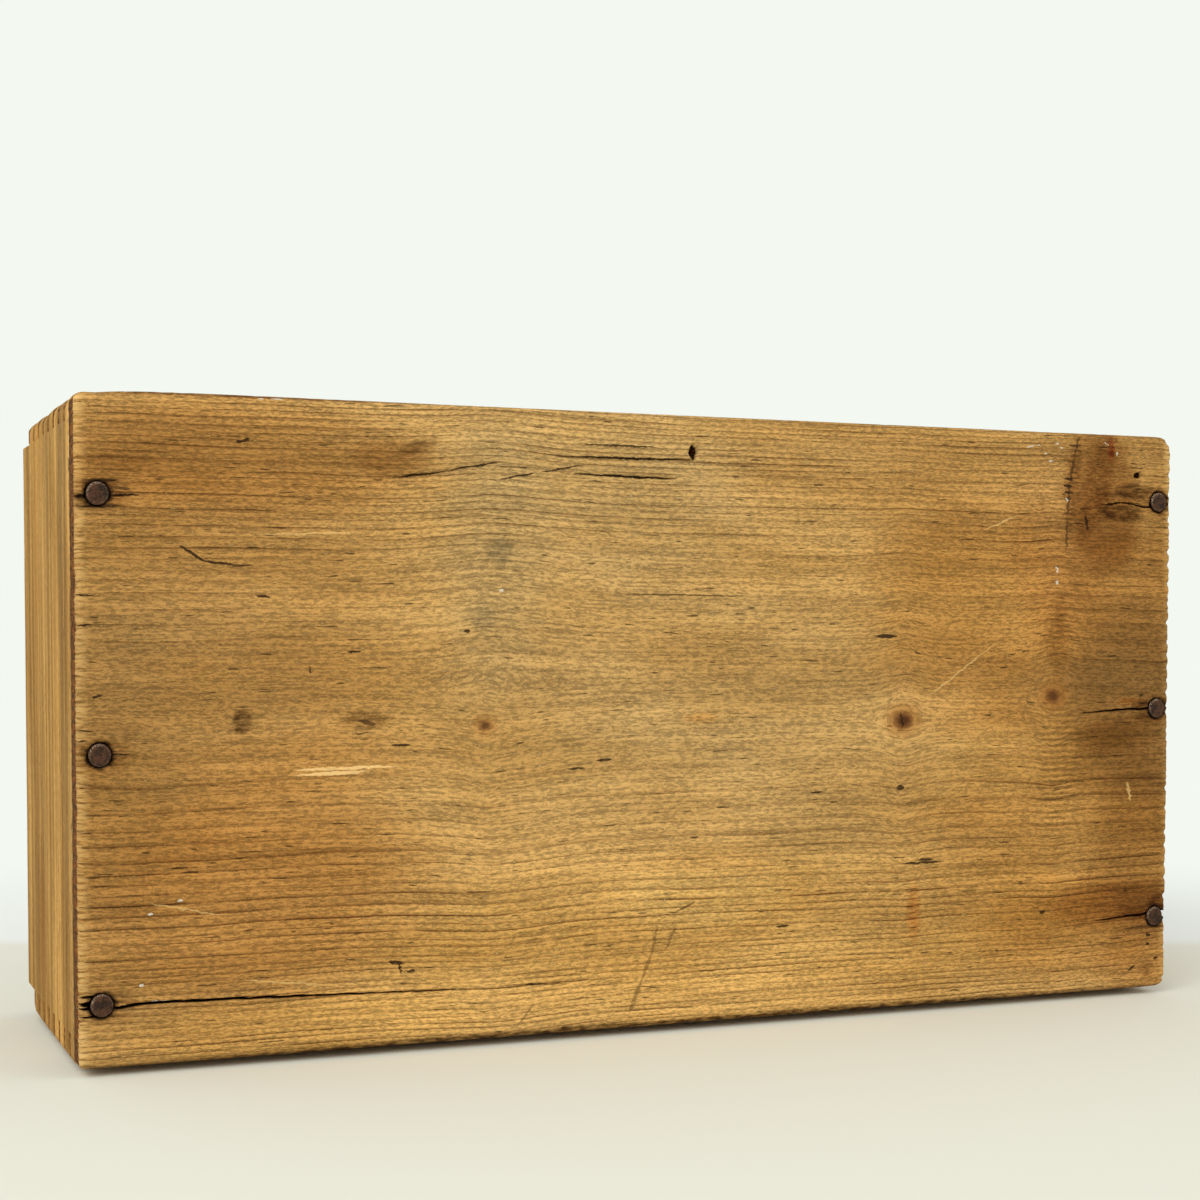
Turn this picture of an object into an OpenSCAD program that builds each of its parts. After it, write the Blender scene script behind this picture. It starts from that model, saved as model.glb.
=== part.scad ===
// An old finger-jointed crate of softwood boards.
// Its bottom is one wide board nailed to the ends. Its lid is let in between the ends,
// lies over the lower rims of the long sides and turns on two hinges on the rear side.
// The crate stands on its front side: X runs along its length, Y from its bottom board
// to its lid, and Z up across its width. The origin is under its middle.

/* [Crate] */
// Length over the two ends
crate_l = 400; // [320:1:480]
// Width over the two long sides, which is its height as it stands
crate_w = 206; // [160:1:260]
// Depth from the face of the bottom board to the rims of the ends
crate_d = 123; // [95:1:160]

/* [Boards] */
// Thickness of the bottom board
bottom_t = 12.5; // [9:0.5:16]
// Thickness of the two ends
end_t = 12.5; // [10:0.5:16]
// Thickness of the two long sides
side_t = 8; // [6:0.5:12]
// How far the shrunken bottom board stops short of each long side's outer face
bottom_shy = 0.2; // [0.1:0.1:3]
// Worn radius of the bottom board's corners
bottom_corner_r = 3; // [1:0.5:8]

/* [Finger joints] */
// Fingers along one corner, those of the end and those of the side together
finger_count = 16; // [8:2:24]
// Play of a finger in its socket
finger_play = 0.1; // [0.05:0.05:0.4]
// How far the tips of the sides' fingers lie below the faces of the ends
finger_recess = 0.4; // [0.1:0.1:1]

/* [Lid] */
// Thickness of the lid, which lies flush with the rims of the ends
lid_t = 12.5; // [9:0.5:16]
// Gap between the lid and each end board
lid_end_gap = 0.8; // [0.4:0.1:2]
// Gap between the closed lid and the rims of the long sides
lid_rest_gap = 0.3; // [0.2:0.05:0.8]
// How far the lid's free edge stops short of the front side's face
lid_front_shy = 2; // [1:0.5:5]

/* [Nails] */
// Diameter of the flat heads
nail_head_d = 7.2; // [5:0.1:8]
// Thickness of the heads
nail_head_t = 1.2; // [0.8:0.1:2]
// Diameter of the shanks
nail_d = 3.1; // [2.4:0.1:4]
// Length from the face of the head to the tip
nail_l = 50; // [35:1:70]
// Length of the tapered point
nail_point_l = 4.5; // [2:0.5:8]
// Diameter of the blunt tip
nail_tip_d = 0.6; // [0.4:0.1:1]
// How far the heads are driven below the board's face
nail_sink = 0.4; // [0:0.1:1]
// Distance of the left row from the left end
left_row_inset = 7; // [5:0.1:9]
// Height of the left row's lower nail above the front side's face
left_lower_h = 19.7; // [15:0.1:40]
// Height of the left row's middle nail above mid-width
left_middle_h = -7.4; // [-20:0.1:20]
// Distance of the left row's upper nail below the rear side's face
left_upper_drop = 31.6; // [15:0.1:45]
// Distance of the right row from the right end
right_row_inset = 5.2; // [4:0.1:8]
// Height of the right row's lower nail above the front side's face
right_lower_h = 27; // [15:0.1:40]
// Height of the right row's middle nail above mid-width
right_middle_h = 1.9; // [-20:0.1:20]
// Distance of the right row's upper nail below the rear side's face
right_upper_drop = 24.5; // [15:0.1:45]
// Room all round a nail or a screw in its hole
fastener_play = 0.03; // [0.02:0.01:0.08]

/* [Hinges] */
// Distance from an end of the lid to the middle of the nearer hinge
hinge_inset = 66.7; // [40:0.1:90]
// Length of a hinge along its pin
hinge_l = 50; // [40:1:60]
// Thickness of the leaves
leaf_t = 1.2; // [0.8:0.1:1.6]
// How far a leaf's outer edge stops short of the lid's face
leaf_margin = 1.5; // [0.5:0.1:2]
// Diameter of the pins
pin_d = 2.6; // [2:0.1:4]
// Running room all round a pin
pin_play = 0.05; // [0.02:0.01:0.09]
// How far a pin stands out of its knuckles at each end
pin_proud = 0.6; // [0.2:0.1:2]
// Gap between neighbouring knuckles, and between a knuckle and the wood
knuckle_gap = 0.3; // [0.2:0.05:0.6]

/* [Hinge screws] */
// Distance from an end of a leaf to the middle of the nearer screw
screw_inset = 8; // [6:0.5:12]
// Diameter of the countersunk heads
screw_head_d = 5.2; // [4:0.1:5.6]
// Height of the countersunk cone
screw_head_t = 1.6; // [1:0.1:2]
// Diameter of the shanks
screw_d = 2.6; // [2:0.1:3]
// Length of the tapered point
screw_point_l = 2.5; // [1.5:0.1:3]
// Diameter of the blunt tip
screw_tip_d = 0.5; // [0.3:0.1:0.8]
// Wood left between a screw's tip and the inner face of the rear side
screw_cover = 1.5; // [0.5:0.1:2.5]
// Width of the driving slot
slot_w = 0.7; // [0.5:0.1:1]
// Depth of the driving slot
slot_t = 0.6; // [0.4:0.1:0.8]

/* [Hidden] */
$fn = 64;
cut = 1;

// Planes across the depth: face and inside of the bottom board, rims of the sides and the ends
bottom_face_y = -crate_d / 2;
bottom_inner_y = bottom_face_y + bottom_t;
rim_y = crate_d / 2;
lid_inner_y = rim_y - lid_t;
side_rim_y = lid_inner_y - lid_rest_gap;

finger_w = (side_rim_y - bottom_inner_y) / finger_count;
lid_half_l = crate_l / 2 - end_t - lid_end_gap;

// Nails as [x, z], lower to upper
left_row_x = left_row_inset - crate_l / 2;
left_row = [
    [left_row_x, left_lower_h],
    [left_row_x, crate_w / 2 + left_middle_h],
    [left_row_x, crate_w - left_upper_drop]
];
right_row_x = crate_l / 2 - right_row_inset;
right_row = [
    [right_row_x, right_lower_h],
    [right_row_x, crate_w / 2 + right_middle_h],
    [right_row_x, crate_w - right_upper_drop]
];

// A knuckle is rolled from the leaf's own sheet, so its wall is the leaf's thickness
knuckle_r = pin_d / 2 + pin_play + leaf_t;
axis_y = (side_rim_y + lid_inner_y) / 2;
axis_z = crate_w + knuckle_gap + knuckle_r;
leaf_clear = knuckle_r + knuckle_gap;
leaf_w = rim_y - leaf_margin - axis_y;
middle_knuckle_l = hinge_l / 3;
left_hinge_x = hinge_inset - lid_half_l;
right_hinge_x = lid_half_l - hinge_inset;

screw_l = side_t + leaf_t - screw_cover;
screw_off_x = hinge_l / 2 - screw_inset;
screw_off_y = (leaf_clear + leaf_w) / 2;
slot_turns = [20, -55, 70, -15];

wood_color = "#b98b4e";
dark_wood_color = "#a87b43";
nail_color = "#4b3a2e";
hinge_color = "#5a524a";

// Depth at which finger number i starts, counted from the bottom board
function finger_y(i) = bottom_inner_y + i * finger_w;

// Box between two corners
module block(low, high) {
    translate(low) cube(high - low);
}

// A nail from its head's face along +Z, with room added all round for its hole
module nail_shape(room = 0) {
    cylinder(d = nail_head_d + 2 * room, h = nail_head_t);
    cylinder(d = nail_d + 2 * room, h = nail_l - nail_point_l);
    translate([0, 0, nail_l - nail_point_l])
        cylinder(d1 = nail_d + 2 * room, d2 = nail_tip_d + 2 * room, h = nail_point_l + room);
}

// Puts a nail's shape in its place, driven into the bottom board
module at_nail(place) {
    translate([place[0], bottom_face_y + nail_sink, place[1]])
        rotate([-90, 0, 0])
            children();
}

// Hole of a driven nail, with the dent that its head has pressed
module nail_hole(place) {
    at_nail(place) {
        nail_shape(fastener_play);
        translate([0, 0, -nail_sink - cut])
            cylinder(d = nail_head_d + 2 * fastener_play, h = nail_sink + cut);
    }
}

module nail(place) {
    color(nail_color) at_nail(place) nail_shape();
}

// A countersunk screw from its head's face along +Z, with room added all round for its hole
module screw_shape(room = 0) {
    straight_l = screw_l - screw_point_l;
    cylinder(d1 = screw_head_d + 2 * room, d2 = screw_d + 2 * room, h = screw_head_t);
    cylinder(d = screw_d + 2 * room, h = straight_l);
    translate([0, 0, straight_l])
        cylinder(d1 = screw_d + 2 * room, d2 = screw_tip_d + 2 * room, h = screw_point_l + room);
}

// Puts a screw's shape in its place: turned 1 is on the lid, -1 on the rear side
module at_screw(hinge_x, turned, number) {
    translate([
        hinge_x + (number == 1 ? -screw_off_x : screw_off_x),
        axis_y + turned * screw_off_y,
        crate_w + leaf_t
    ])
        rotate([180, 0, 0])
            children();
}

module leaf_screw_holes(hinge_x, turned) {
    for (number = [1, 2])
        at_screw(hinge_x, turned, number) screw_shape(fastener_play);
}

module hinge_screw(hinge_x, turned, number, slot_turn) {
    color(hinge_color)
        at_screw(hinge_x, turned, number)
            difference() {
                screw_shape();
                rotate([0, 0, slot_turn])
                    translate([-screw_head_d / 2 - cut, -slot_w / 2, -cut])
                        cube([screw_head_d + 2 * cut, slot_w, slot_t + cut]);
            }
}

// Outline of the bottom board with its worn corners
module bottom_outline() {
    half_l = crate_l / 2;
    low_z = bottom_shy;
    high_z = crate_w - bottom_shy;
    r = bottom_corner_r;
    translate([-half_l + r, low_z]) square([crate_l - 2 * r, high_z - low_z]);
    translate([-half_l, low_z + r]) square([crate_l, high_z - low_z - 2 * r]);
    for (x = [-half_l + r, half_l - r], z = [low_z + r, high_z - r])
        translate([x, z]) circle(r = r);
}

module bottom_board() {
    color(wood_color)
        difference() {
            translate([0, bottom_inner_y, 0])
                rotate([90, 0, 0])
                    linear_extrude(bottom_t) bottom_outline();
            for (place = concat(left_row, right_row))
                nail_hole(place);
        }
}

// Opens both long edges of an end board from one depth to another, a side's thickness deep
module end_edge_cuts(outer_x, from_y, to_y) {
    block([outer_x - cut, from_y, -cut], [outer_x + end_t + cut, to_y, side_t]);
    block([outer_x - cut, from_y, crate_w - side_t], [outer_x + end_t + cut, to_y, crate_w + cut]);
}

// End board whose low-X face is at low_x: sockets take the sides' fingers,
// and past the sides' rims the corners are stepped back
module end_board(low_x, row) {
    color(dark_wood_color)
        difference() {
            block([low_x, bottom_inner_y, 0], [low_x + end_t, rim_y, crate_w]);
            for (i = [1 : 2 : finger_count - 1])
                end_edge_cuts(low_x, finger_y(i) - finger_play / 2, finger_y(i + 1) + finger_play / 2);
            end_edge_cuts(low_x, side_rim_y - cut, rim_y + cut);
            for (place = row)
                nail_hole(place);
        }
}

module left_end() {
    end_board(-crate_l / 2, left_row);
}

module right_end() {
    end_board(crate_l / 2 - end_t, right_row);
}

// Long side whose lower face is at low_z, open at both ends where the ends' fingers pass
module side_board(low_z) {
    half_l = crate_l / 2 - finger_recess;
    inner_x = crate_l / 2 - end_t;
    difference() {
        block([-half_l, bottom_inner_y, low_z], [half_l, side_rim_y, low_z + side_t]);
        for (i = [0 : 2 : finger_count - 2]) {
            from_y = finger_y(i) - (i == 0 ? cut : finger_play / 2);
            to_y = finger_y(i + 1) + finger_play / 2;
            block([-half_l - cut, from_y, low_z - cut], [-inner_x, to_y, low_z + side_t + cut]);
            block([inner_x, from_y, low_z - cut], [half_l + cut, to_y, low_z + side_t + cut]);
        }
    }
}

module front_side() {
    color(dark_wood_color) side_board(0);
}

module rear_side() {
    color(dark_wood_color)
        difference() {
            side_board(crate_w - side_t);
            leaf_screw_holes(left_hinge_x, -1);
            leaf_screw_holes(right_hinge_x, -1);
        }
}

module lid_board() {
    color(wood_color)
        difference() {
            block([-lid_half_l, lid_inner_y, lid_front_shy], [lid_half_l, rim_y, crate_w]);
            leaf_screw_holes(left_hinge_x, 1);
            leaf_screw_holes(right_hinge_x, 1);
        }
}

// Runs of the pin inside a leaf's knuckles: the outer two on the side's leaf, the middle one on the lid's
function knuckle_runs(turned) =
    let (gap_half = knuckle_gap / 2, middle_half = middle_knuckle_l / 2)
    turned > 0
        ? [[-middle_half + gap_half, middle_half - gap_half]]
        : [[-hinge_l / 2, -middle_half - gap_half], [middle_half + gap_half, hinge_l / 2]];

// Box of a leaf's sheet, from one distance off the pin to another, on its own side of the pin
module leaf_sheet(run, from_w, to_w, turned) {
    low_w = turned > 0 ? from_w : -to_w;
    high_w = turned > 0 ? to_w : -from_w;
    block([run[0], low_w, -leaf_clear], [run[1], high_w, leaf_t - leaf_clear]);
}

// A hinge leaf: its flat, and its rolled knuckles round the pin
module hinge_leaf(hinge_x, turned) {
    color(hinge_color)
        difference() {
            translate([hinge_x, axis_y, axis_z])
                difference() {
                    union() {
                        leaf_sheet([-hinge_l / 2, hinge_l / 2], leaf_clear, leaf_w, turned);
                        for (run = knuckle_runs(turned)) {
                            leaf_sheet(run, 0, leaf_clear, turned);
                            translate([run[0], 0, 0])
                                rotate([0, 90, 0])
                                    cylinder(r = knuckle_r, h = run[1] - run[0]);
                        }
                    }
                    translate([-hinge_l / 2 - cut, 0, 0])
                        rotate([0, 90, 0])
                            cylinder(d = pin_d + 2 * pin_play, h = hinge_l + 2 * cut);
                }
            leaf_screw_holes(hinge_x, turned);
        }
}

module hinge_pin(hinge_x) {
    color(hinge_color)
        translate([hinge_x - hinge_l / 2 - pin_proud, axis_y, axis_z])
            rotate([0, 90, 0])
                cylinder(d = pin_d, h = hinge_l + 2 * pin_proud);
}

bottom_board();
left_end();
right_end();
front_side();
rear_side();
lid_board();
nail(left_row[0]);  // left_lower_nail
nail(left_row[1]);  // left_middle_nail
nail(left_row[2]);  // left_upper_nail
nail(right_row[0]);  // right_lower_nail
nail(right_row[1]);  // right_middle_nail
nail(right_row[2]);  // right_upper_nail
hinge_leaf(left_hinge_x, -1);  // left_hinge_side_leaf
hinge_leaf(left_hinge_x, 1);  // left_hinge_lid_leaf
hinge_pin(left_hinge_x);  // left_hinge_pin
hinge_leaf(right_hinge_x, -1);  // right_hinge_side_leaf
hinge_leaf(right_hinge_x, 1);  // right_hinge_lid_leaf
hinge_pin(right_hinge_x);  // right_hinge_pin
hinge_screw(left_hinge_x, -1, 1, slot_turns[0]);  // left_hinge_side_screw_1
hinge_screw(left_hinge_x, -1, 2, slot_turns[1]);  // left_hinge_side_screw_2
hinge_screw(left_hinge_x, 1, 1, slot_turns[2]);  // left_hinge_lid_screw_1
hinge_screw(left_hinge_x, 1, 2, slot_turns[3]);  // left_hinge_lid_screw_2
hinge_screw(right_hinge_x, -1, 1, slot_turns[3]);  // right_hinge_side_screw_1
hinge_screw(right_hinge_x, -1, 2, slot_turns[0]);  // right_hinge_side_screw_2
hinge_screw(right_hinge_x, 1, 1, slot_turns[1]);  // right_hinge_lid_screw_1
hinge_screw(right_hinge_x, 1, 2, slot_turns[2]);  // right_hinge_lid_screw_2
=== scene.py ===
import math

import bmesh
import bpy
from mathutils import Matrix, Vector, noise


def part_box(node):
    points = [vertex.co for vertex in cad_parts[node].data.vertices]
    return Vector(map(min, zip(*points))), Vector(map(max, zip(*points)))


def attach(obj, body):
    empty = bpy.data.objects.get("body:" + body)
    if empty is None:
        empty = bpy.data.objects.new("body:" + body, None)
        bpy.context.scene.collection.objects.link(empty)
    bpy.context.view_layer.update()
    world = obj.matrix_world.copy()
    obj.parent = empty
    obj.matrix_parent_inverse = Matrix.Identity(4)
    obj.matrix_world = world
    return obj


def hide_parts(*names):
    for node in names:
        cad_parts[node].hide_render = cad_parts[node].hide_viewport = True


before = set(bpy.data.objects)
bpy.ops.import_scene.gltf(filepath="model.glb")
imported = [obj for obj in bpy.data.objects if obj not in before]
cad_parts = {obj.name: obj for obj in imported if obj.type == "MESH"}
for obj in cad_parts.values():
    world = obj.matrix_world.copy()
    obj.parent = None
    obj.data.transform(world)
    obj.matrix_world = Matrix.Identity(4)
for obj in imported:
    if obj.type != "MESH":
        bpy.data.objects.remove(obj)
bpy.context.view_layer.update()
mm = 0.001
print("frame loaded,", len(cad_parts), "nodes")


# Small helpers for colours, boxes and curves

def tone(red, green, blue):      # a screen colour, 0 to 255, as the shader's linear values
    def straight(level):
        share = level / 255
        return share / 12.92 if share <= 0.04045 else ((share + 0.055) / 1.055) ** 2.4
    return (straight(red), straight(green), straight(blue), 1.0)


def boxMm(node):
    low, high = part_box(node)
    return low / mm, high / mm


def ease(value, low, high):      # 0 below low, 1 above high, smooth between
    share = min(max((value - low) / (high - low), 0.0), 1.0)
    return share * share * (3 - 2 * share)


def bump(x, y, z=0.0):           # smooth noise from -1 to 1
    return noise.noise((x, y, z))


def roundOff(inside, radius):    # how deep a rounded arris lies, so far in from the edge
    if inside >= radius:
        return 0.0
    away = radius - max(inside, 0.0)
    return radius - math.sqrt(max(radius * radius - away * away, 0.0))


def gridLines(low, high, coarse, fine=None, zones=()):    # closer together inside the zones
    lines = [low]
    while lines[-1] < high - 0.001:
        here = lines[-1]
        within = [end for start, end in zones if start - 0.001 <= here < end - 0.001]
        ahead = [start for start, end in zones if start > here + 0.001]
        stop = min(within) if within else min(ahead, default=high)
        stop = min(stop, high)
        step = fine if within else coarse
        left = max(1, round((stop - here) / step))
        lines.append(here + (stop - here) / left)
    return lines


# Node helpers

def wire(tree, value, socket):
    if isinstance(value, bpy.types.NodeSocket):
        tree.links.new(value, socket)
    else:
        socket.default_value = value


def addNode(tree, kind, inputs=None, **settings):
    made = tree.nodes.new("ShaderNode" + kind)
    for name, setting in settings.items():
        setattr(made, name, setting)
    for place, value in (inputs or {}).items():
        wire(tree, value, made.inputs[place])
    return made


def calc(tree, operation, *values):
    return addNode(tree, "Math", dict(enumerate(values)), operation=operation).outputs[0]


def times(tree, *values):
    return calc(tree, "MULTIPLY", *values)


def timesPlus(tree, *values):
    return calc(tree, "MULTIPLY_ADD", *values)


def less(tree, *values):
    return calc(tree, "SUBTRACT", *values)


def vecCalc(tree, operation, *values):
    return addNode(tree, "VectorMath", dict(enumerate(values)), operation=operation).outputs[0]


def vecNumber(tree, operation, *values):     # for lengths and dot products
    return addNode(tree, "VectorMath", dict(enumerate(values)), operation=operation).outputs["Value"]


def splitUp(tree, value):
    return addNode(tree, "SeparateXYZ", {0: value}).outputs


def putTogether(tree, *values):
    return addNode(tree, "CombineXYZ", dict(enumerate(values))).outputs[0]


def fade(tree, value, low, high, start=0.0, end=1.0):
    inputs = {0: value, 1: low, 2: high, 3: start, 4: end}
    return addNode(tree, "MapRange", inputs, interpolation_type="SMOOTHSTEP", clamp=False).outputs[0]


def blend(tree, share, under, over, way="MIX"):
    inputs = {0: share, 6: under, 7: over}
    return addNode(tree, "Mix", inputs, data_type="RGBA", blend_type=way).outputs[2]


def noiseAt(tree, place, stretch, offset=(0, 0, 0), detail=2.0, rough=0.5, output=0):
    moved = vecCalc(tree, "MULTIPLY_ADD", place, stretch, offset)
    inputs = {"Vector": moved, "Scale": 1.0, "Detail": detail, "Roughness": rough}
    return addNode(tree, "TexNoise", inputs).outputs[output]


def newGroup(name, takes, gives):
    tree = bpy.data.node_groups.new(name, "ShaderNodeTree")
    for label, kind in takes:
        tree.interface.new_socket(label, in_out="INPUT", socket_type="NodeSocket" + kind)
    for label in gives:
        tree.interface.new_socket(label, in_out="OUTPUT", socket_type="NodeSocketFloat")
    return tree, tree.nodes.new("NodeGroupInput").outputs, tree.nodes.new("NodeGroupOutput").inputs


def useGroup(tree, group, *values):
    made = tree.nodes.new("ShaderNodeGroup")
    made.node_tree = group
    for place, value in enumerate(values):
        wire(tree, value, made.inputs[place])
    return made.outputs


def newMaterial(name):
    made = bpy.data.materials.new(name)
    made.use_nodes = True
    tree = made.node_tree
    tree.nodes.clear()
    shader = addNode(tree, "BsdfPrincipled")
    last = addNode(tree, "OutputMaterial")
    tree.links.new(shader.outputs[0], last.inputs[0])
    return made, tree, shader


# Camera, at the photograph's viewing angle

photoView = {
    "place": (-0.2897, -0.6903, 0.1307),
    "yaw": 22.42,            # degrees to the right of straight at the bottom board
    "pitch": -2.15,
    "focal": 2056.4,         # pixels
    "imageSize": 1200,
    "axisRow": 716.2,        # the row that the optical axis meets
}


def makeCamera(view):
    data = bpy.data.cameras.new("photoCamera")
    data.lens = view["focal"] / view["imageSize"] * data.sensor_width
    data.shift_y = (view["axisRow"] - view["imageSize"] / 2) / view["imageSize"]
    camera = bpy.data.objects.new("photoCamera", data)
    camera.location = view["place"]
    camera.rotation_euler = (math.radians(90 + view["pitch"]), 0, -math.radians(view["yaw"]))
    bpy.context.scene.collection.objects.link(camera)
    bpy.context.scene.camera = camera


makeCamera(photoView)
print("camera set")


# Floor, backdrop and light

studio = {
    "floorSize": 8.0,
    "floorDrop": 0.0022,             # the crate stands on its few high spots
    "floorTone": (241, 242, 227),
    "floorRough": 0.9, "floorShine": 0.1,
    "backTone": (243, 248, 241),
    "pastTone": (250, 254, 248),     # the floor past the fold, which has to look as pale as the backdrop
    "foldAhead": 0.896,              # metres ahead of the camera where the floor turns pale
    "foldSoft": 0.012,
    "melt": (0.30, 0.62),            # metres from the crate over which the floor melts into the backdrop
    "worldLevel": 0.70,
    "lampSize": 1.6, "lampAim": (0, 0, 0.1),
    "keyPower": 26.0,
    "keyPlace": (-1.5, -1.5, 1.5),
    "fillPower": 4.0,
    "fillPlace": (1.3, -1.2, 0.7),
}


def seenStraight(tree):          # camera rays, and the rays that metal or glass sends on
    rays = addNode(tree, "LightPath").outputs
    straight = calc(tree, "MAXIMUM", rays["Is Camera Ray"], rays["Is Glossy Ray"])
    return calc(tree, "MAXIMUM", straight, rays["Is Transmission Ray"])


def makeFloor(look, view):
    bm = bmesh.new()
    bmesh.ops.create_grid(bm, x_segments=8, y_segments=8, size=look["floorSize"] / 2)
    bmesh.ops.translate(bm, vec=(0, 0, -look["floorDrop"]), verts=bm.verts[:])
    mesh = bpy.data.meshes.new("floor")
    bm.to_mesh(mesh)
    bm.free()
    floor = bpy.data.objects.new("floor", mesh)
    bpy.context.scene.collection.objects.link(floor)
    made, tree, shader = newMaterial("paleFloor")
    mesh.materials.append(made)
    place = addNode(tree, "TexCoord").outputs["Object"]
    turn = math.radians(view["yaw"])
    ahead = vecCalc(tree, "SUBTRACT", place, view["place"])
    ahead = vecCalc(tree, "MULTIPLY", ahead, (math.sin(turn), math.cos(turn), 0))
    x, y = splitUp(tree, ahead)[:2]
    past = calc(tree, "ADD", x, y)
    soft = look["foldSoft"]
    past = fade(tree, past, look["foldAhead"] - soft, look["foldAhead"] + soft)
    colour = blend(tree, past, tone(*look["floorTone"]), tone(*look["pastTone"]))
    wire(tree, colour, shader.inputs["Base Color"])
    shader.inputs["Roughness"].default_value = look["floorRough"]
    shader.inputs["Specular IOR Level"].default_value = look["floorShine"]
    far = fade(tree, vecNumber(tree, "LENGTH", place), *look["melt"])
    glow = addNode(tree, "Emission", {"Color": tone(*look["backTone"]), "Strength": 1.0})
    share = times(tree, far, seenStraight(tree))
    mixed = addNode(tree, "MixShader", {0: share, 1: shader.outputs[0], 2: glow.outputs[0]})
    last = next(n for n in tree.nodes if n.type == "OUTPUT_MATERIAL")
    tree.links.new(mixed.outputs[0], last.inputs[0])


def makeWorld(look):
    world = bpy.data.worlds.new("studio")
    bpy.context.scene.world = world
    world.use_nodes = True
    tree = world.node_tree
    tree.nodes.clear()
    white = (1.0, 1.0, 1.0, 1.0)
    lit = addNode(tree, "Background", {"Color": white, "Strength": look["worldLevel"]})
    seen = addNode(tree, "Background", {"Color": tone(*look["backTone"]), "Strength": 1.0})
    mixed = addNode(tree, "MixShader", {0: seenStraight(tree), 1: lit.outputs[0], 2: seen.outputs[0]})
    last = addNode(tree, "OutputWorld")
    tree.links.new(mixed.outputs[0], last.inputs[0])


def makeLamp(name, place, power, look):
    data = bpy.data.lights.new(name, "AREA")
    data.energy = power
    data.size = look["lampSize"]
    lamp = bpy.data.objects.new(name, data)
    lamp.location = place
    aim = Vector(look["lampAim"]) - Vector(place)
    lamp.rotation_euler = aim.to_track_quat("-Z", "Y").to_euler()
    bpy.context.scene.collection.objects.link(lamp)


makeFloor(studio, photoView)
makeWorld(studio)
makeLamp("windowLight", studio["keyPlace"], studio["keyPower"], studio)
makeLamp("roomLight", studio["fillPlace"], studio["fillPower"], studio)
bpy.context.scene.view_settings.view_transform = "Standard"
print("floor, backdrop and light set")


# Pine: yearly rings about a wavering pith, with fibres along the grain, all in millimetres

def makePineGrain():
    takes = (("Place", "Vector"), ("Near", "Float"), ("Far", "Float"))
    gives = ("Late", "Fibre", "Fleck", "Glint", "Dash", "Band", "Broad")
    tree, given, out = newGroup("pineGrain", takes, gives)
    place = given["Place"]
    across, through = splitUp(tree, place)[1:]
    long = noiseAt(tree, place, (0.03, 1.1, 1.1), (1, 5, 9), 2.0, 0.6)
    short = noiseAt(tree, place, (0.5, 1.6, 1.6), (4, 4, 2), 3.0, 0.65)
    waver = noiseAt(tree, place, (0.006, 0.016, 0.016), (3, 1, 7), 2.0, 0.45)
    ripple = noiseAt(tree, place, (0.03, 0.12, 0.12), (8, 2, 4), 1.0)
    radius = vecNumber(tree, "LENGTH", putTogether(tree, 0.0, across, through))
    for shift, reach in ((waver, 6.0), (ripple, 1.2), (short, 0.25)):
        radius = timesPlus(tree, shift, reach, radius)
    close = timesPlus(tree, radius, given["Far"], given["Near"])
    rings = times(tree, radius, close)                  # the rings grow narrower outwards
    perMm = timesPlus(tree, radius, given["Far"], close)
    inputs = {"W": times(tree, rings, 0.35), "Scale": 1.0, "Detail": 1.0}
    uneven = addNode(tree, "TexNoise", inputs, noise_dimensions="1D").outputs[0]
    rings = timesPlus(tree, uneven, 1.4, rings)
    gone = calc(tree, "DIVIDE", less(tree, 1.0, calc(tree, "FRACT", rings)), perMm)
    soft = times(tree, fade(tree, gone, 0.4, 1.4, 0.4, 0.0), fade(tree, gone, 0.0, 0.14))
    whole = fade(tree, noiseAt(tree, place, (0.05, 0.5, 0.5), (7, 7, 3), 2.0), 0.34, 0.5, 0.35, 1.0)
    crisp = times(tree, fade(tree, gone, 0.28, 0.7, 1.0, 0.0), fade(tree, gone, 0.0, 0.1))
    late = calc(tree, "MAXIMUM", soft, times(tree, crisp, whole))
    strength = addNode(tree, "TexWhiteNoise", {"W": calc(tree, "FLOOR", rings)}, noise_dimensions="1D")
    strength = timesPlus(tree, strength.outputs["Value"], 0.5, 0.5)
    patchy = fade(tree, noiseAt(tree, place, (0.014, 0.12, 0.12), (6, 6, 1), 2.0), 0.35, 0.65, 0.55, 1.0)
    wire(tree, times(tree, times(tree, late, strength), patchy), out["Late"])
    wire(tree, timesPlus(tree, short, 0.72, times(tree, long, 0.28)), out["Fibre"])
    wire(tree, fade(tree, short, 0.6, 0.72), out["Fleck"])
    wire(tree, fade(tree, short, 0.28, 0.41, 1.0, 0.0), out["Glint"])
    patterns = (("Dash", (0.13, 1.15, 1.15), (9, 3, 5), 1.0, (0.70, 0.75)),
                ("Band", (0.004, 0.13, 0.13), (5, 8, 2), 3.0, (0.3, 0.7)),
                ("Broad", (0.011, 0.035, 0.035), (2, 9, 6), 2.0, (0.3, 0.7)))
    for name, stretch, offset, detail, limits in patterns:
        wire(tree, fade(tree, noiseAt(tree, place, stretch, offset, detail), *limits), out[name])
    return tree


pineGrain = makePineGrain()
pineFinish = {
    "ringFall": 0.34, "fibreRise": 0.5, "poreRise": 0.5,     # relief in millimetres
    "relief": 0.6, "rough": (0.84, 0.68), "shine": 0.05,
    "dashShare": 0.75,       # how dark the short dashes along the grain are
}


def patch(at, size, shade, turn=0, core=0.2):    # a field that darkens or pales the wood, in millimetres
    return {"at": at, "size": size, "times": shade, "turn": turn, "core": core}


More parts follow.
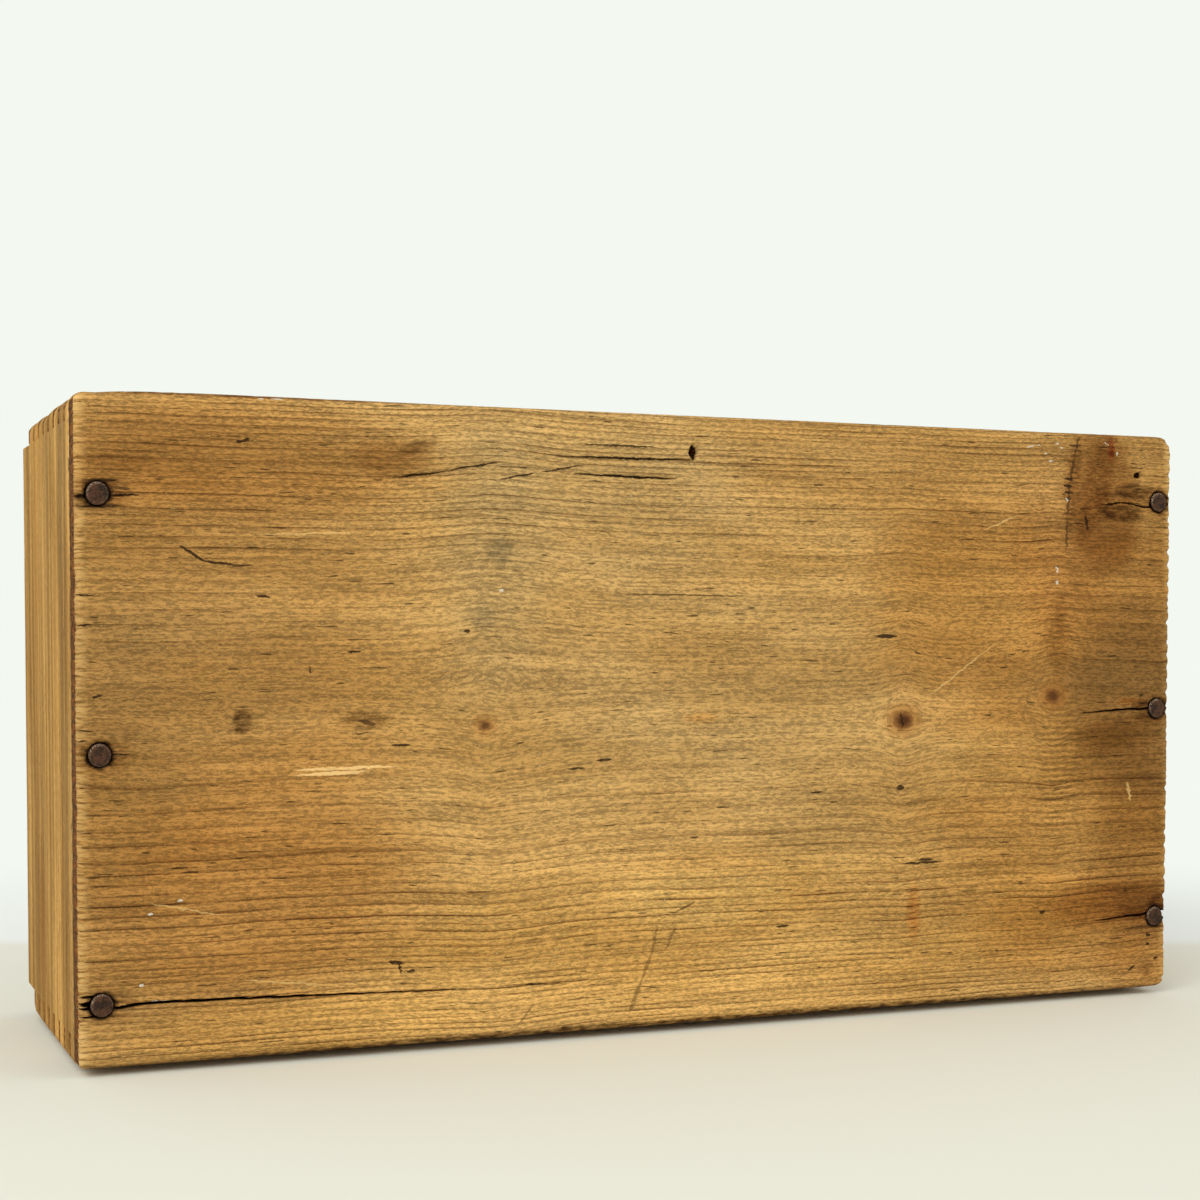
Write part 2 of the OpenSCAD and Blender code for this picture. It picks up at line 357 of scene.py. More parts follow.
def spotShare(tree, place, spot, strength):      # a soft patch, long or turned where the spot says so
    turn = math.radians(spot.get("turn", 0))
    wide, tall = spot["size"]
    apart = vecCalc(tree, "SUBTRACT", place, (*spot["at"], 0))
    along = vecNumber(tree, "DOT_PRODUCT", apart, (math.cos(turn) / wide, math.sin(turn) / wide, 0))
    across = vecNumber(tree, "DOT_PRODUCT", apart, (-math.sin(turn) / tall, math.cos(turn) / tall, 0))
    reach = timesPlus(tree, across, across, times(tree, along, along))
    return fade(tree, reach, spot.get("core", 0.2) ** 2, 1.0, strength, 0.0)


def strokeSpot(x0, z0, x1, z1, half):            # a crack or scratch as a thin patch between two points
    turn = math.degrees(math.atan2(z1 - z0, x1 - x0))
    long = math.hypot(x1 - x0, z1 - z0) / 2 + half
    return {"at": ((x0 + x1) / 2, (z0 + z1) / 2), "size": (long, half), "turn": turn, "core": 0.68}


def knotPush(tree, along, across, knot):      # grain lines swing out round a knot
    x, z, size = knot["at"][0], knot["at"][1], knot["size"]
    near = calc(tree, "DIVIDE", less(tree, along, x), size * 3.2)
    near = calc(tree, "DIVIDE", 1.0, timesPlus(tree, near, near, 1.0))
    near = times(tree, near, near)
    off = less(tree, across, z)
    side = calc(tree, "DIVIDE", off, calc(tree, "ADD", calc(tree, "ABSOLUTE", off), size * 0.6))
    reach = calc(tree, "DIVIDE", off, size * 9)
    reach = calc(tree, "DIVIDE", 1.0, timesPlus(tree, reach, reach, 1.0))
    push = times(tree, times(tree, near, side), reach)
    return timesPlus(tree, push, -size * knot["swing"], across)


def swing(tree, colour, wide, tall):     # a noise colour as a shift to either side
    return vecCalc(tree, "MULTIPLY_ADD", colour, (wide, tall, 0), (-wide / 2, -tall / 2, 0))


def fromSides(tree, value, low, high):
    return calc(tree, "MINIMUM", less(tree, value, low), less(tree, high, value))


def pinePlaces(tree, look):      # where a point lies in its board, in millimetres
    coords = addNode(tree, "TexCoord").outputs
    place = vecCalc(tree, "MULTIPLY", coords["Object"], (1 / mm, 1 / mm, 1 / mm))
    parts = splitUp(tree, place)
    along, across, through = (parts[axis] for axis in look["axes"])
    face = putTogether(tree, along, across, 0.0)
    drift = noiseAt(tree, face, (0.06, 0.16, 0.1), (look["seed"], 3, 5), 3.0, 0.65, output=1)
    shake = noiseAt(tree, face, (0.5, 0.9, 0.1), (3, look["seed"], 7), 2.0, 0.6, output=1)
    line = vecCalc(tree, "ADD", face, swing(tree, drift, 0, 1.4))
    turned = calc(tree, "ABSOLUTE", splitUp(tree, coords["Normal"])[look["axes"][0]])
    at = {"place": place, "along": along, "across": across, "through": through, "face": face,
          "stain": vecCalc(tree, "ADD", face, swing(tree, drift, 14, 7)),
          "line": vecCalc(tree, "ADD", line, swing(tree, shake, 2.4, 1.1)),
          "depth": calc(tree, "ABSOLUTE", less(tree, through, look["face"])),
          "endOn": fade(tree, turned, 0.55, 0.85)}
    if "box" in look:
        low, high = look["box"]
        at["fromEnd"] = fromSides(tree, along, low.x, high.x)
        at["fromEdge"] = fromSides(tree, across, low.z, high.z)
    return at


def pineFigure(tree, look, at):  # rings and fibres, which swing out round the knots
    pushed = at["across"]
    for knot in look.get("knots", ()):
        pushed = knotPush(tree, at["along"], pushed, knot)
    pithAcross, pithThrough = look["pith"]
    spot = putTogether(tree, calc(tree, "ADD", at["along"], look["seed"]), less(tree, pushed, pithAcross),
                       less(tree, at["through"], pithThrough))
    return useGroup(tree, pineGrain, spot, *look["rings"])


def lateWood(tree, look, at, grain):     # the rings' dark lines, faint in the calm places
    late = times(tree, grain["Late"], look["lineShare"])
    for spot in look.get("calm", ()):
        late = less(tree, late, times(tree, late, spotShare(tree, at["stain"], spot, spot["share"])))
    return late


def cleanWood(tree, look, grain, late):
    wood = blend(tree, grain["Broad"], tone(*look["pale"]), tone(*look["deep"]))
    wood = blend(tree, 1.0, wood, fade(tree, grain["Band"], 0.0, 1.0, *look["band"]), "MULTIPLY")
    wood = blend(tree, late, wood, tone(*look["line"]))
    wood = blend(tree, 1.0, wood, fade(tree, grain["Fibre"], 0.36, 0.64, *look["fibre"]), "MULTIPLY")
    marks = (("Glint", "glint", look["glintShare"]), ("Fleck", "fleck", look["fleckShare"]),
             ("Dash", "crack", pineFinish["dashShare"]))
    for mark, colour, share in marks:
        wood = blend(tree, times(tree, grain[mark], share), wood, tone(*look[colour]))
    return wood


def frayedEndsWithHighlight(tree, look, at, wood):    # pale where the fibres are torn, with a painted highlight on the ragged fibres at the ends
    tornAndLit = fade(tree, noiseAt(tree, at["face"], (0.1, 0.9, 0), (4, 7, 2), 3.0, 0.65), 0.42, 0.56)
    share = times(tree, fade(tree, at["fromEnd"], 0.6, 4.5, 0.85, 0.0), tornAndLit)
    return blend(tree, share, wood, tone(*look["glint"]))


def stainedWoodWithPaintedLight(tree, look, at, wood):
    for spot in look.get("tints", ()):
        wood = blend(tree, spotShare(tree, at["stain"], spot, 1.0), wood, (*spot["times"], 1), "MULTIPLY")
    broken = noiseAt(tree, at["face"], (0.2, 0.65, 0.1), (6, 2, look["seed"]), 3.0, 0.6)
    broken = fade(tree, broken, 0.38, 0.6, 0.5, 1.0)
    for spot in look.get("stainsAndPaintedLight", ()):
        share = times(tree, spotShare(tree, at["line"], spot, 1.0), broken)
        wood = blend(tree, share, wood, (*spot["times"], 1), "MULTIPLY")
    for curl in look.get("curls", ()):   # places where the grain runs in small waves
        waves = times(tree, splitUp(tree, at["line"])[1], math.tau / curl["step"])
        waves = fade(tree, calc(tree, "SINE", waves), -1.0, 1.0, 0.55, 1.22)
        wood = blend(tree, spotShare(tree, at["stain"], curl, curl["share"]), wood, waves, "MULTIPLY")
    for knot in look.get("knots", ()):
        for share, size, colour in look["knotRings"]:
            wide = knot["size"] * size
            spot = {"at": knot["at"], "size": (wide * 1.2, wide), "core": 0.35}
            shown = spotShare(tree, at["line"], spot, share * knot["share"])
            wood = blend(tree, shown, wood, tone(*colour))
    return wood


def markedWood(tree, look, at, grain, wood):     # cracks and scratches, which the fibres break up
    marked = wood
    for kind in look.get("strokes", ()):
        for line in kind["lines"]:
            share = spotShare(tree, at["line"], strokeSpot(*line), kind["share"])
            marked = blend(tree, share, marked, tone(*kind["tone"]))
    if marked is wood:
        return wood
    return blend(tree, fade(tree, grain["Fibre"], 0.36, 0.5, 0.7, 1.0), wood, marked)


def paintedPitShade(tree, look, at, wood):      # painted shade inside cracks, holes and the gaps round the nail heads, away from the board's own edges
    pitShade = times(tree, fade(tree, at["depth"], 0.9, 2.0), fade(tree, at["fromEdge"], 2.4, 3.8))
    pitShade = times(tree, pitShade, fade(tree, at["fromEnd"], 0.5, 1.5))
    pitShade = times(tree, pitShade, fade(tree, at["depth"], 9.0, 11.0, 1.0, 0.0))
    return blend(tree, pitShade, wood, tone(*look["crack"]))


def pineMaterial(look):
    made, tree, shader = newMaterial(look["name"])
    at = pinePlaces(tree, look)
    grain = pineFigure(tree, look, at)
    late = lateWood(tree, look, at, grain)
    wood = cleanWood(tree, look, grain, late)
    worn = "box" in look                 # the board with frayed ends, cracks and holes
    if worn:
        wood = frayedEndsWithHighlight(tree, look, at, wood)
    stainedWithPaintedLight = markedWood(tree, look, at, grain, stainedWoodWithPaintedLight(tree, look, at, wood))
    if stainedWithPaintedLight is not wood:              # dirt, the painted shade and the painted highlights stay near the face
        wood = blend(tree, fade(tree, at["depth"], 2.0, 5.0, 1.0, 0.0), wood, stainedWithPaintedLight)
    endOn = at["endOn"]
    if worn:
        wood = paintedPitShade(tree, look, at, wood)
        ragged = noiseAt(tree, at["face"], (0, 0.7, 0), (2, 6, 1), 3.0, 0.65)
        ragged = timesPlus(tree, ragged, -11.0, at["depth"])
        endOn = times(tree, endOn, fade(tree, ragged, -3.4, -1.6))
    pores = noiseAt(tree, at["place"], (1.1, 0.35, 0.9), (5, 5, 5), 3.0, 0.7)
    endWood = blend(tree, fade(tree, pores, 0.4, 0.62), tone(*look["endDark"]), tone(*look["endPale"]))
    if worn:                             # painted shade in the seam behind the end grain, where the board meets the end
        endWood = blend(tree, fade(tree, at["depth"], 8.5, 12.0, 0.0, 0.8), endWood, tone(*look["crack"]))
    wood = blend(tree, times(tree, endOn, look["endShare"]), wood, endWood)

    rise = times(tree, grain["Fibre"], pineFinish["fibreRise"])
    rise = timesPlus(tree, late, -pineFinish["ringFall"], rise)
    if worn:
        rise = times(tree, rise, fade(tree, at["fromEnd"], 1.0, 6.0, 0.3, 1.0))
    rise = timesPlus(tree, times(tree, pores, endOn), pineFinish["poreRise"], rise)
    relief = addNode(tree, "Bump", {"Strength": pineFinish["relief"], "Distance": mm, "Height": rise})
    wire(tree, wood, shader.inputs["Base Color"])
    wire(tree, fade(tree, grain["Fibre"], 0.3, 0.7, *pineFinish["rough"]), shader.inputs["Roughness"])
    wire(tree, relief.outputs[0], shader.inputs["Normal"])
    shader.inputs["Specular IOR Level"].default_value = pineFinish["shine"]
    return made


# Finishing a piece: from millimetres to the frame, on its body, in place of its node

def faceOutwards(bm):
    bmesh.ops.recalc_face_normals(bm, faces=bm.faces[:])
    if bm.calc_volume(signed=True) < 0:
        bmesh.ops.reverse_faces(bm, faces=bm.faces[:])


def finishPiece(bm, name, body, material, nodes, sharpAngle=40):
    faceOutwards(bm)
    bmesh.ops.scale(bm, vec=(mm, mm, mm), verts=bm.verts[:])
    mesh = bpy.data.meshes.new(name)
    bm.to_mesh(mesh)
    bm.free()
    mesh.shade_smooth()
    mesh.set_sharp_from_angle(angle=math.radians(sharpAngle))
    mesh.materials.append(material)
    piece = bpy.data.objects.new(name, mesh)
    bpy.context.scene.collection.objects.link(piece)
    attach(piece, body)
    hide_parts(*nodes)
    print(name, "made,", len(mesh.polygons), "faces")
    return piece


nailNames = [f"{end}_{level}_nail" for end in ("left", "right") for level in ("lower", "middle", "upper")]


def nailSpots():                 # where each nail's head is on the bottom board's face
    boxes = [boxMm(name) for name in nailNames]
    return [((low.x + high.x) / 2, (low.z + high.z) / 2) for low, high in boxes]


# Bottom board: the wide board that faces the camera, worn, split and nailed

def split(half, deep, *points):      # an open crack, from its wide end
    return {"points": points, "half": half, "deep": deep}


bottomBoard = {
    "midStep": 2.9, "endStep": 0.5, "endZone": 14,     # grid along the grain
    "rowStep": 0.65, "fineRow": 0.26, "edgeZone": 2.4,  # grid across it
    "fineRows": [(15.8, 23.2), (26, 29), (102.8, 105.8), (169.6, 171.4), (172.8, 174.8), (177.6, 186),
                 (187, 191.4)],
    "leftCorners": (2.2, 1.6), "rightCorners": (4.2, 5.6),    # lower and upper corner of each end
    "topArris": 1.9, "lowArris": 2.8, "endArris": 1.0, "backArris": 0.5,
    "cup": 0.25,             # how far the long edges fall back
    "ripple": 0.22, "furrow": 0.15,
    "dish": 0.45, "dishReach": 8.0,                    # the hollow round each nail
    "pocket": 3.85, "pocketDeep": 1.6,                 # the gap round each head
    "leftSkew": 0.1, "rightSkew": 0.6,                 # the ends aren't quite square
    "tooth": (0.62, 0.7), "chip": (0.13, 0.8), "splinter": (1.2, 0.1),    # how often and how deep
    "fray": 1.9, "frayReach": 3.0,                     # grooves that open towards the ends
    "leftDrop": 1.9, "dropReach": 9.0,                 # the top edge falls towards the left end
    "notch": {"at": 27.8, "half": 1.2, "deep": 2.4},   # chip at the lower right nail
    "splits": [
        split(0.42, 4, (-188.6, 18.7), (-179, 19.6), (-153, 19.2), (-112, 18.1), (-82, 17.4)),
        split(0.8, 5, (-195.5, 20.4), (-200.6, 20.2)),
        split(0.4, 3, (-196.4, 19), (-200.6, 18.9)),
        split(0.4, 2, (-195.4, 22.6), (-200.6, 22.5)),
        split(0.35, 2, (-194.6, 16.4), (-200.6, 16.6)),
        split(0.4, 3, (192, 105), (181, 104.7), (170, 104.1), (160, 103.5)),
        split(0.4, 3, (193, 28.4), (180, 27.4), (166, 26.6)),
        split(0.35, 2, (192, 179.3), (185, 180.2), (178, 181), (170.5, 179.8)),
        split(0.35, 1.3, (3, 190.8), (-21, 190.5), (-44, 190.4)),
        split(0.3, 1.2, (-3.7, 184.3), (-42.5, 184.8)),
        split(0.3, 1.2, (-98.6, 182.1), (-83.3, 184.4), (-65.4, 187.9)),
        split(0.3, 0.8, (-188, 178.4), (-197.6, 178.2)),
        split(0.3, 0.8, (-189, 173.7), (-180.6, 174.1)),
        split(0.3, 1.2, (-199.8, 173.5), (-196.5, 173.5)),
        split(0.3, 0.8, (-199.8, 170.4), (-185.5, 170.8)),
    ],
    "holes": [
        {"at": (3.8, 193.4), "size": (1.4, 2.4), "deep": 4.0},
        {"at": (184.7, 191.3), "size": (1.5, 1.5), "deep": 4.5},
    ],
}

bottomLook = {
    "name": "bottomPine", "axes": "XZY", "pith": (104.5, -88.5), "seed": 400, "rings": (0.063, 0.00218),
    "face": -61.5, "pale": (201, 159, 95), "deep": (182, 139, 77),
    "band": (0.90, 1.08), "fibre": (0.50, 1.46),
    "line": (84, 45, 16), "lineShare": 0.9, "glint": (240, 200, 130), "glintShare": 0.5,
    # crack also colours the painted shade deep in cracks, holes and the end seam
    "fleck": (92, 58, 26), "fleckShare": 0.6, "crack": (38, 25, 15),
    "endDark": (58, 28, 8), "endPale": (136, 75, 22), "endShare": 0.95,
    "knotRings": [(0.5, 2.2, (158, 100, 42)), (0.9, 1.15, (96, 56, 27)), (0.7, 0.6, (64, 38, 22))],
    "knots": [
        {"at": (85.5, 102), "size": 3.6, "swing": 1.1, "share": 1.0},
        {"at": (148.3, 110), "size": 3.2, "swing": 1.2, "share": 0.8},
        {"at": (-70.5, 103), "size": 2.2, "swing": 0.9, "share": 0.7},
        {"at": (-66.5, 118), "size": 10, "swing": 0.4, "share": 0.0},
    ],
    "calm": [
        {"at": (-10, 116), "size": (250, 62), "core": 0.5, "share": 0.62},
        {"at": (30, 145), "size": (140, 40), "core": 0.4, "share": 0.4},
        {"at": (172, 178), "size": (28, 36), "core": 0.5, "share": 0.8},
    ],
    "tints": [               # broad fields of dirt and wear, and a painted highlight on the top arris
        patch((-185, 112), (105, 140), (0.82, 0.75, 0.67)),
        patch((-198, 90), (36, 100), (0.88, 0.88, 0.88)),
        patch((-150, 186), (75, 26), (0.82, 0.73, 0.62)),
        patch((-145, 52), (70, 42), (0.90, 0.80, 0.69)),
        patch((-135, 91), (50, 14), (0.95, 0.89, 0.80)),
        patch((-165, 118), (50, 40), (0.93, 0.95, 1.0), core=0.3),
        # pale strip along the top arris: partly worn wood, partly painted highlight
        patch((-140, 203), (75, 3), (1.18, 1.20, 1.22), core=0.4),
        patch((-130, 8), (70, 14), (1.12, 1.10, 0.98)),
        patch((-102, 188), (16, 8), (0.74, 0.66, 0.58)),
        patch((-89, 29), (26, 16), (0.89, 0.86, 0.79)),
        patch((-66, 160), (26, 52), (0.88, 0.93, 1.02)),
        patch((-30, 188), (70, 26), (1.10, 1.16, 1.26)),
        patch((-12, 170), (48, 34), (0.99, 1.05, 1.17)),
        patch((-10, 84), (75, 30), (1.04, 1.08, 1.15)),
        patch((8, 43), (40, 12), (1.10, 1.18, 1.30)),
        patch((10, 118), (120, 40), (0.93, 0.96, 1.02), core=0.4),
        patch((20, 28), (180, 38), (1.24, 1.24, 1.14)),
        patch((52, 64), (34, 22), (0.88, 0.89, 0.90)),
        patch((80, 185), (80, 26), (0.97, 0.94, 0.90)),
        patch((86, 37), (48, 16), (0.82, 0.80, 0.79)),
        patch((104, 146), (40, 32), (0.90, 0.90, 0.88), core=0.4),
        patch((118, 140), (62, 52), (0.88, 0.76, 0.60)),
        patch((120, 85), (32, 18), (1.22, 1.28, 1.36)),
        patch((142, 112), (40, 18), (0.82, 0.80, 0.78)),
        patch((148, 165), (24, 44), (0.90, 0.83, 0.78)),
        patch((150, 127), (7, 15), (0.78, 0.74, 0.68)),
        patch((155, 24), (46, 26), (0.93, 0.86, 0.76)),
        patch((155, 62), (75, 62), (0.86, 0.77, 0.63)),
        patch((169, 182), (20, 34), (0.62, 0.52, 0.43), turn=8, core=0.5),
        patch((178, 96), (28, 9), (0.74, 0.68, 0.60), turn=8),
        patch((180, 33), (42, 12), (0.67, 0.55, 0.46), core=0.3),
        patch((182, 150), (30, 26), (0.84, 0.78, 0.70), core=0.4),
        patch((185, 135), (50, 95), (0.76, 0.68, 0.58)),
        patch((188, 108), (42, 44), (0.60, 0.58, 0.58), core=0.4),
        patch((192, 52), (36, 40), (0.69, 0.63, 0.56), core=0.3),
        patch((196, 11), (36, 18), (0.80, 0.68, 0.55)),
    ],
    "curls": [
        {"at": (151, 82), "size": (13, 36), "step": 2.2, "share": 0.7},
        {"at": (151, 134), "size": (6, 15), "step": 2.0, "share": 0.7},
        {"at": (-66, 152), "size": (12, 30), "step": 2.3, "share": 0.45},
        {"at": (155.6, 184), "size": (23, 2.6), "turn": 83, "step": 1.9, "share": 0.9},
        {"at": (147, 182), "size": (9, 24), "step": 1.7, "share": 0.4},
    ],
    "stainsAndPaintedLight": [              # smaller ones with firmer edges
        patch((-65, 159), (6, 6), (0.62, 0.66, 0.74)),
        patch((-71, 138), (6, 6), (0.70, 0.74, 0.82)),
        patch((-92, 192), (9, 3), (0.48, 0.43, 0.40), turn=21),
        patch((167, 188), (26, 8), (0.60, 0.50, 0.42), turn=73, core=0.3),
        patch((173, 200), (2, 5.5), (0.80, 0.32, 0.26)),
        patch((183, 185), (11, 3.6), (0.31, 0.27, 0.23), turn=3, core=0.5),
        patch((178, 177), (12, 3.8), (0.28, 0.24, 0.20), core=0.5),
        patch((170, 181), (5, 9), (0.62, 0.55, 0.48)),
        patch((156, 184), (23, 4), (0.70, 0.64, 0.58), turn=83),
        patch((151, 140), (3, 9), (0.70, 0.67, 0.64)),
        patch((189, 106.5), (8, 2.4), (0.50, 0.44, 0.40)),
        patch((190, 101.5), (7, 2.2), (0.50, 0.44, 0.40)),
        patch((183, 107.5), (8, 2), (1.05, 0.80, 0.56)),
        patch((186, 29), (12, 4), (0.60, 0.52, 0.45)),
        patch((196, 31), (6, 5.5), (0.42, 0.34, 0.30), core=0.4),
        patch((191, 7.5), (4, 5), (0.60, 0.54, 0.50)),
        patch((90, 34), (3.5, 13), (0.92, 0.68, 0.52)),
        patch((-149.8, 105), (4, 4.6), (0.24, 0.21, 0.19), core=0.5),
        patch((-110.6, 105), (11, 3.6), (0.44, 0.40, 0.36), core=0.4),
        patch((7, 104), (8, 2.6), (1.10, 0.94, 0.74)),
        patch((-187, 184), (14, 4), (0.72, 0.66, 0.60)),
        patch((-196, 172.5), (5, 4), (0.34, 0.33, 0.30)),
        patch((-198, 96.7), (2, 2.2), (0.42, 0.40, 0.36)),
        patch((-150, 205.8), (60, 1.4), (0.45, 0.36, 0.28), core=0.6),
        # painted shade along the lower arris, where the gap under the board lies in shadow
        patch((0, -0.4), (300, 3.4), (0.12, 0.09, 0.07), core=0.5),
    ],
    "strokes": [             # lines from x, z to x, z, with half the width
        {"tone": (38, 25, 15), "share": 0.92, "lines": [       # cracks and dents with dirt in them
            (-39, 194.6, -7, 194.6, 0.4), (-44, 190.4, 3, 190.8, 0.45), (-42.5, 184.8, -3.7, 184.3, 0.45),
            (-65.5, 182, -52, 185, 0.4), (-52, 185, -36, 187.7, 0.4), (-98.6, 182.1, -83.3, 184.4, 0.45),
            (-83.3, 184.4, -65.4, 187.9, 0.4), (-168.8, 159.2, -161.2, 154.4, 0.6),
            (-162.6, 154.8, -151.5, 153.2, 0.5), (-145, 144, -140.6, 144, 0.5),
            (-199.6, 143.9, -194, 143.8, 0.4), (-199.4, 134.8, -195, 134.9, 0.4),
            (74.3, 131.6, 82.8, 131.9, 0.8), (-103, 27.6, -98, 27, 0.8), (-99.6, 26.6, -99, 24, 0.6),
            (-97, 24.4, -94.6, 24.2, 0.5), (85, 51.2, 102, 51.6, 0.6), (92, 52.4, 98, 52.6, 0.6),
            (-102, 96.9, -95.8, 96.9, 0.6), (-31.4, 90.4, -26, 90.7, 0.45), (48.6, 77.6, 53, 77.7, 0.45),
            (-42.7, 88, -35.3, 87.9, 0.35), (35, 31.5, 40.4, 31.7, 0.45), (84.5, 105, 85.4, 99.6, 0.4),
            (83.8, 78.5, 85, 78.5, 1.0), (-151, 191, -147, 192.3, 0.7), (143.6, 31, 145, 31, 0.8),
            (191.2, 20.2, 192.2, 20, 0.7), (191, 16.8, 191.8, 16.6, 0.6), (194.6, 11.2, 195.6, 11.8, 0.6),
            (182.7, 7.4, 185.6, 9.1, 0.5), (-128.6, 122.3, -128.1, 119.8, 0.4),
            (-77, 133.3, -76, 133.3, 0.6), (-116.6, 126.6, -111.8, 126.6, 0.4),
            (-56.4, 17.4, -53.4, 17.4, 0.5), (-199.6, 173.5, -196.5, 173.5, 0.6),
            (-189, 173.7, -180.6, 174.1, 0.4), (-200, 100, -196.7, 99.9, 0.35),
            (-199.7, 103.3, -195, 103, 0.45), (-189, 95.8, -184, 95.7, 0.35),
            (-194.8, 113.4, -192.4, 113.7, 0.5), (170.4, 179.8, 177.8, 181, 0.35),
            (177.8, 181, 185.2, 180.2, 0.35), (153, 189, 156, 188.6, 0.7),
            (152.8, 186.4, 155.4, 186.2, 0.6), (153, 184, 155.4, 184, 0.5),
            (161.6, 176, 162.8, 170.5, 0.6)]},
        {"tone": (58, 40, 24), "share": 0.72, "lines": [       # fainter dark lines
            (-26.6, 145.6, 29, 145.5, 0.35), (-2.8, 38.4, 5, 42, 0.4), (180, 23.2, 196, 23.6, 0.4),
            (-65, 17.7, -40, 16.9, 0.35), (158.8, 204.4, 156.8, 197, 0.6), (156.8, 197, 155, 188, 0.6),
            (155, 188, 153.8, 175, 0.6), (153.8, 175, 153.6, 163, 0.5),
            (-112.6, 104.9, -107.4, 103.8, 0.9), (-197.5, 178.2, -186, 178.5, 0.8),
            (-199.6, 170.4, -185.5, 170.8, 0.7), (-189.4, 176.2, -183.6, 175.8, 0.6)]},
        {"tone": (70, 48, 28), "share": 0.5, "lines": [        # rubbed old scratches
            (-9.4, 34, -11.3, 25.2, 0.7), (-11.3, 25.2, -15, 16.3, 0.8), (-15, 16.3, -19.3, 5.7, 0.9),
            (-2.4, 33.9, -6.5, 25.7, 0.6), (-53.3, 11.5, -58.9, 4.3, 0.4)]},
        {"tone": (232, 190, 120), "share": 0.55, "lines": [   # fresh scratches
            (-180, 50.4, -155, 45.3, 0.35), (-151, 25, -122.4, 21.6, 0.4), (92, 108, 125.3, 130.4, 0.35),
            (118, 169.4, 132.4, 174.9, 0.35), (-73.2, 171.7, -55, 170, 0.45), (-55, 170, -48, 167.1, 0.4),
            (-145.8, 163, -112, 164, 0.35), (181.4, 77.6, 182.8, 70.7, 0.7)]},
        {"tone": (244, 202, 134), "share": 0.9, "lines": [    # where a splinter came off
            (-134.6, 89.9, -98.5, 90.2, 0.6), (-134.2, 88.1, -109, 88.7, 0.8)]},
        {"tone": (236, 230, 214), "share": 0.65, "lines": [   # specks of white paint
            (136.4, 199.6, 139.6, 200.5, 0.3), (141, 200.8, 142, 200.8, 0.25),
            (148.6, 201.2, 149.8, 201.6, 0.3), (146, 195.2, 147.6, 195.4, 0.4),
            (144, 197.6, 145, 197.6, 0.25), (151, 200, 151.6, 200, 0.25), (170, 203, 171.4, 201.8, 0.3),
            (175.3, 199.2, 175.6, 198, 0.35), (149.4, 156.8, 149.8, 155, 0.45),
            (149.6, 151.5, 149.8, 150.9, 0.45), (153.7, 181.8, 153.9, 181, 0.45),
            (-169.6, 50.4, -168.6, 50.4, 0.4), (-178.8, 47, -178, 47, 0.4),
            (-181.4, 25.4, -180.6, 25.4, 0.4), (-65, 146.6, -64.4, 146.6, 0.5),
            (-144, 204.8, -142.6, 204.6, 0.3), (-140.4, 205, -136, 204.8, 0.25),
            (-179, 20.2, -172.3, 19.9, 0.3)]},
    ],
}


def awayFrom(points, x, z):      # distance to a bent line, and the share of its length there
    best, where, walked = 1e9, 0.0, 0.0
    spans = [math.dist(a, b) for a, b in zip(points, points[1:])]
    for (ax, az), (bx, bz), span in zip(points, points[1:], spans):
        share = ((x - ax) * (bx - ax) + (z - az) * (bz - az)) / (span * span)
        share = min(max(share, 0.0), 1.0)
        off = math.hypot(x - ax - share * (bx - ax), z - az - share * (bz - az))
        if off < best:
            best, where = off, (walked + share * span) / sum(spans)
        walked += span
    return best, where


def boardEnds(z, low, high, plan, raw):      # where the left and right ends stop at this height
    up = (z - low.z) / (high.z - low.z)
    half = 0 if up < 0.5 else 1
    fromEdge = min(z - low.z, high.z - z)
    tooth, chip, splinter = plan["tooth"], plan["chip"], plan["splinter"]
    insets = []
    for seed, skew, corners in ((11.3, plan["leftSkew"] * up, plan["leftCorners"]),
                                (47.9, plan["rightSkew"] * (1 - up), plan["rightCorners"])):
        ragged = max(0.0, bump(seed, z * 0.06, 3) + 0.25)
        wander = z + 2.6 * bump(seed, z * 0.17, 8)
        teeth = max(0.0, bump(seed, wander * tooth[0]) - 0.15) * tooth[1] * ragged
        teeth += max(0.0, bump(seed, z * chip[0], 5) - 0.25) * chip[1]
        fine = splinter[1] * (1 + bump(seed, z * splinter[0], 9))
        insets.append(0.02 + skew + roundOff(fromEdge, corners[half]) + raw * (teeth + fine))
    notch = plan["notch"]
    insets[1] += raw * notch["deep"] * (1 - ease(abs(z - notch["at"]), notch["half"] * 0.5, notch["half"]))
    return low.x + insets[0], high.x - insets[1]


def boardEdges(x, low, high, plan, raw):     # where the lower and upper edges stop at this length
    wear = 0.06 + 0.06 * bump(x * 0.05, 21) + raw * 0.25 * max(0.0, bump(x * 0.35, 33) - 0.1)
    top = 0.05 + 0.05 * bump(x * 0.03, 57) + raw * 0.25 * max(0.0, bump(x * 0.3, 71) - 0.1)
    top += plan["leftDrop"] * math.exp((low.x - x) / plan["dropReach"])
    return low.z + max(wear, 0.02), high.z - max(top, 0.02)


